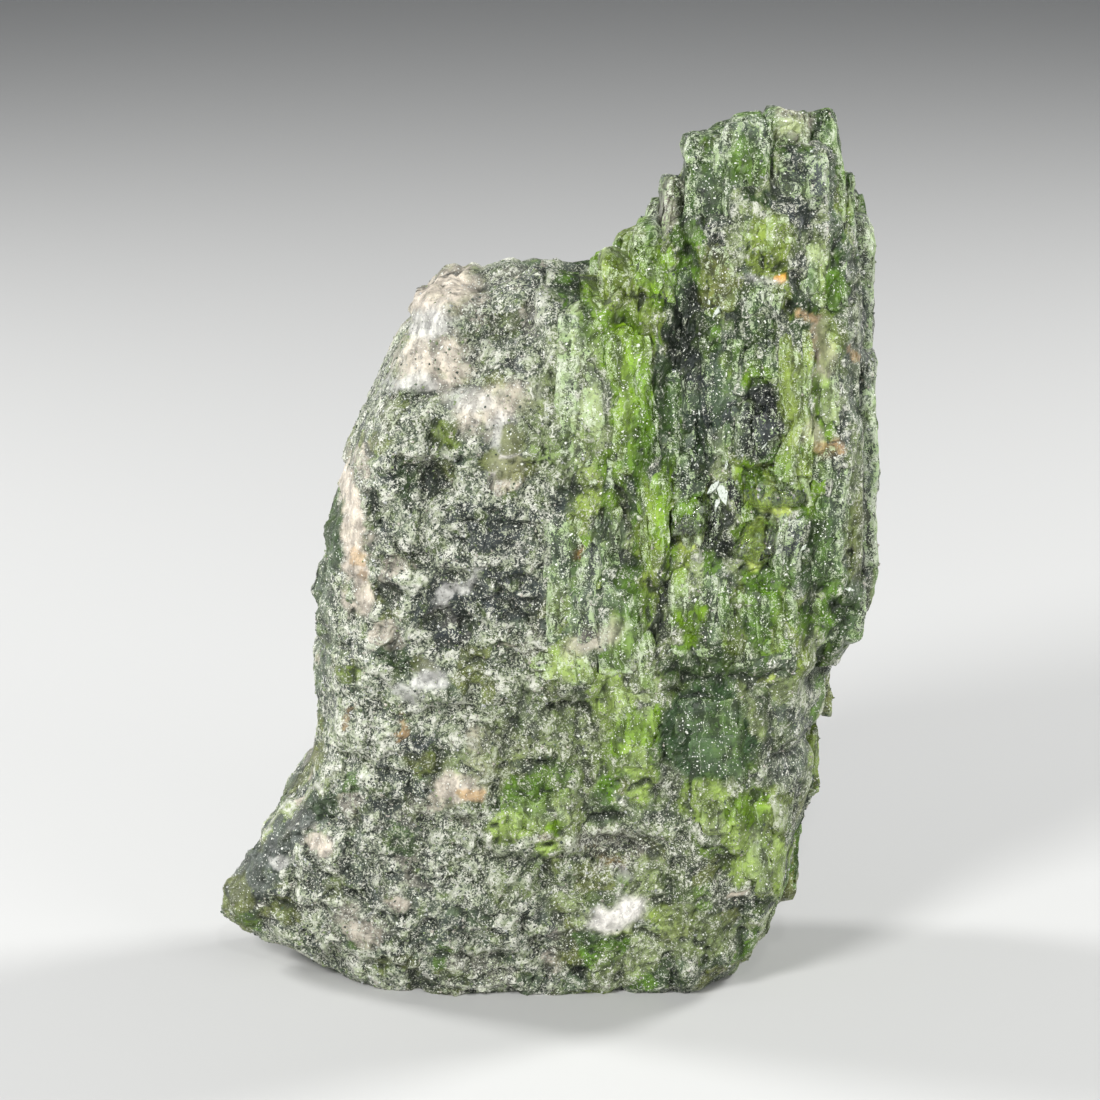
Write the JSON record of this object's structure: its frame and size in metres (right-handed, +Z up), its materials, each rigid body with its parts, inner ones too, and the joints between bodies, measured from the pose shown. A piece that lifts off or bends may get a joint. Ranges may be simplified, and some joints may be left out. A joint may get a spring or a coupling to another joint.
{
  "type": "chrome diopside crystal specimen",
  "caption": "Standing natural specimen: blocky green diopside columns grown together with a pale grained matrix, resting on a flat foot.",
  "frame": {"origin": "on the flat foot's plane, under the middle of the piece's box", "axes": "+Z up, along the crystal columns; +X to the right across the broad front face; +Y from the front face to the back"},
  "size_m": [0.0548, 0.0284, 0.0738],
  "materials": {
    "diopside": "rough and grained, with glassy green crystal faces"
  },
  "bodies": {
    "root": {"diopside_crystal": "diopside"}
  },
  "joints": []
}
